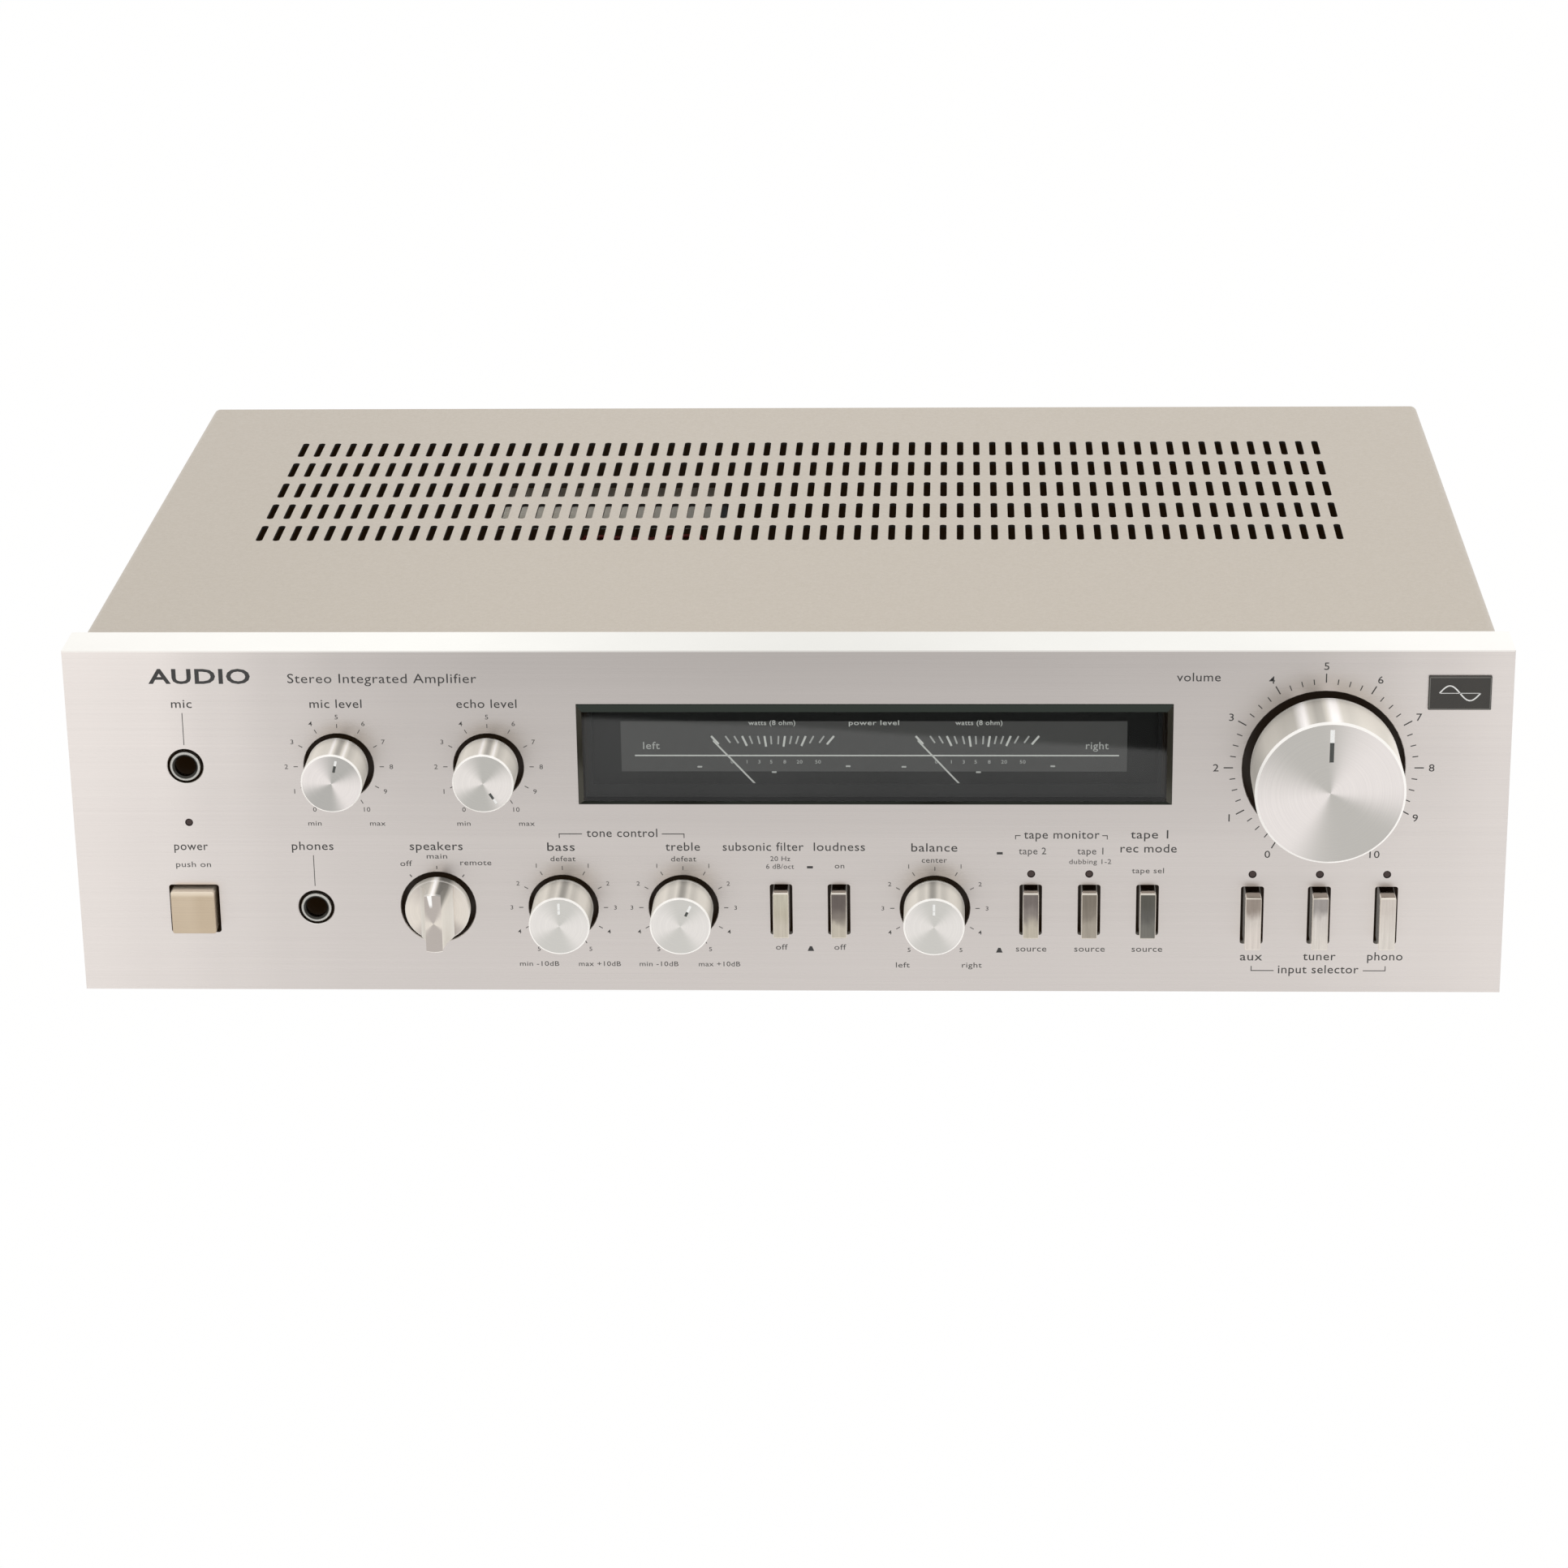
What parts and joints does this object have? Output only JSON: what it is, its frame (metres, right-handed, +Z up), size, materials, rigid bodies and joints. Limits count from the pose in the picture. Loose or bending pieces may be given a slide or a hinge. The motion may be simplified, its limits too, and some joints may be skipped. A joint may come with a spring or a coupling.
{
  "type": "stereo integrated amplifier",
  "caption": "Full-width stereo integrated amplifier with a brushed aluminium front, turned knobs, push buttons, twin-needle meter window and a slotted sheet-metal cover.",
  "frame": {"origin": "middle of the whole outline, knobs and tied mains cord included, at table level", "axes": "+X to the right seen from the front, +Y towards the back, +Z up"},
  "size_m": [0.43, 0.308, 0.1193],
  "materials": {
    "panel_aluminium": "horizontally brushed, clear anodised",
    "cover_paint": "satin paint",
    "black_steel": "satin black paint",
    "zinc_steel": "zinc plated",
    "foot_rubber": "moulded",
    "black_screws": "black oxide",
    "smoked_pane": "smoked, polished",
    "black_plastic": "moulded",
    "scale_face": "matt print",
    "movement_metal": "plain",
    "needle_white": "white paint",
    "badge_black": "gloss",
    "bright_plate": "nickel plated",
    "led_lens": "tinted, unlit",
    "control_body": "plain",
    "brass_nuts": "plain",
    "power_cap": "champagne anodised",
    "switch_body": "moulded",
    "circuit_board": "phenolic",
    "core_iron": "laminated, varnished",
    "winding": "taped",
    "capacitor_sleeve": "shrink sleeve",
    "sink_aluminium": "plain extruded",
    "terminal_plastic": "moulded, one row red and one black",
    "cord_rubber": "moulded",
    "knob_aluminium": "spun and diamond-cut",
    "shaft_steel": "plain",
    "chrome_caps": "bright plated"
  },
  "bodies": {
    "amplifier": {"front_panel": "panel_aluminium", "front_subpanel": "black_steel", "top_cover": "cover_paint", "chassis_base": "zinc_steel", "rear_panel": "black_steel", "feet": "foot_rubber", "case_screws": "black_screws", "window_pane": "smoked_pane", "meter_housing": "black_plastic", "meter_scale": "scale_face", "meter_movements": "movement_metal", "badge_plate": "badge_black", "jack_sockets": "black_plastic", "jack_nuts": "bright_plate", "indicator_leds": "led_lens", "volume_pot": "control_body", "level_pots": "control_body", "speaker_switch": "control_body", "pot_nuts": "brass_nuts", "push_switches": "switch_body", "power_switch": "black_plastic", "control_board": "circuit_board", "transformer_core": "core_iron", "transformer_winding": "winding", "filter_capacitors": "capacitor_sleeve", "heat_sink": "sink_aluminium", "output_modules": "black_plastic", "main_board": "circuit_board", "rca_block": "black_plastic", "rca_sleeves": "bright_plate", "speaker_terminals": "black_plastic", "terminal_caps": "terminal_plastic", "ground_post": "bright_plate", "power_cord": "cord_rubber", "cord_grip": "black_plastic"},
    "volume_control": {"volume_knob": "knob_aluminium", "volume_shaft": "shaft_steel"},
    "mic_control": {"mic_knob": "knob_aluminium", "mic_shaft": "shaft_steel"},
    "echo_control": {"echo_knob": "knob_aluminium", "echo_shaft": "shaft_steel"},
    "speakers_control": {"speakers_knob": "knob_aluminium", "speakers_shaft": "shaft_steel"},
    "bass_control": {"bass_knob": "knob_aluminium", "bass_shaft": "shaft_steel"},
    "treble_control": {"treble_knob": "knob_aluminium", "treble_shaft": "shaft_steel"},
    "balance_control": {"balance_knob": "knob_aluminium", "balance_shaft": "shaft_steel"},
    "power_push": {"power_button": "power_cap"},
    "subsonic_push": {"subsonic_button": "chrome_caps"},
    "loudness_push": {"loudness_button": "chrome_caps"},
    "tape2_push": {"tape2_button": "chrome_caps"},
    "tape1_push": {"tape1_button": "chrome_caps"},
    "rec_mode_push": {"rec_mode_button": "chrome_caps"},
    "aux_push": {"aux_button": "chrome_caps"},
    "tuner_push": {"tuner_button": "chrome_caps"},
    "phono_push": {"phono_button": "chrome_caps"},
    "left_pointer": {"left_needle": "needle_white"},
    "right_pointer": {"right_needle": "needle_white"}
  },
  "joints": [
    {"name": "volume_turn", "type": "hinge", "parent": "amplifier", "child": "volume_control", "pos_m": [0.1603, -0.13275, 0.0824], "axis": [0, 1, 0], "range_deg": [-150, 150]},
    {"name": "mic_turn", "type": "hinge", "parent": "amplifier", "child": "mic_control", "pos_m": [-0.1341, -0.13275, 0.0827], "axis": [0, 1, 0], "range_deg": [-163, 137]},
    {"name": "echo_turn", "type": "hinge", "parent": "amplifier", "child": "echo_control", "pos_m": [-0.08905, -0.13275, 0.0827], "axis": [0, 1, 0], "range_deg": [-298, 2]},
    {"name": "speakers_turn", "type": "hinge", "parent": "amplifier", "child": "speakers_control", "pos_m": [-0.1057, -0.13275, 0.0374], "axis": [0, 1, 0], "range_deg": [-32, 32]},
    {"name": "bass_turn", "type": "hinge", "parent": "amplifier", "child": "bass_control", "pos_m": [-0.0678, -0.13275, 0.0373], "axis": [0, 1, 0], "range_deg": [-150, 150]},
    {"name": "treble_turn", "type": "hinge", "parent": "amplifier", "child": "treble_control", "pos_m": [-0.0315, -0.13275, 0.0373], "axis": [0, 1, 0], "range_deg": [-176, 124]},
    {"name": "balance_turn", "type": "hinge", "parent": "amplifier", "child": "balance_control", "pos_m": [0.04435, -0.13275, 0.0372], "axis": [0, 1, 0], "range_deg": [-150, 150]},
    {"name": "power_press", "type": "slide", "parent": "amplifier", "child": "power_push", "axis": [0, 1, 0], "range_m": [0, 0.004]},
    {"name": "subsonic_press", "type": "slide", "parent": "amplifier", "child": "subsonic_push", "axis": [0, 1, 0], "range_m": [0, 0.004]},
    {"name": "loudness_press", "type": "slide", "parent": "amplifier", "child": "loudness_push", "axis": [0, 1, 0], "range_m": [0, 0.004]},
    {"name": "tape2_press", "type": "slide", "parent": "amplifier", "child": "tape2_push", "axis": [0, 1, 0], "range_m": [0, 0.004]},
    {"name": "tape1_press", "type": "slide", "parent": "amplifier", "child": "tape1_push", "axis": [0, 1, 0], "range_m": [0, 0.004]},
    {"name": "rec_mode_press", "type": "slide", "parent": "amplifier", "child": "rec_mode_push", "axis": [0, 1, 0], "range_m": [0, 0.004]},
    {"name": "aux_press", "type": "slide", "parent": "amplifier", "child": "aux_push", "axis": [0, 1, 0], "range_m": [0, 0.004]},
    {"name": "tuner_press", "type": "slide", "parent": "amplifier", "child": "tuner_push", "axis": [0, 1, 0], "range_m": [0, 0.004]},
    {"name": "phono_press", "type": "slide", "parent": "amplifier", "child": "phono_push", "axis": [0, 1, 0], "range_m": [0, 0.004]},
    {"name": "left_needle_swing", "type": "hinge", "parent": "amplifier", "child": "left_pointer", "pos_m": [-0.0033, -0.12775, 0.0687], "axis": [0, 1, 0], "range_deg": [0, 84]},
    {"name": "right_needle_swing", "type": "hinge", "parent": "amplifier", "child": "right_pointer", "pos_m": [0.0579, -0.12775, 0.0687], "axis": [0, 1, 0], "range_deg": [0, 84]}
  ]
}
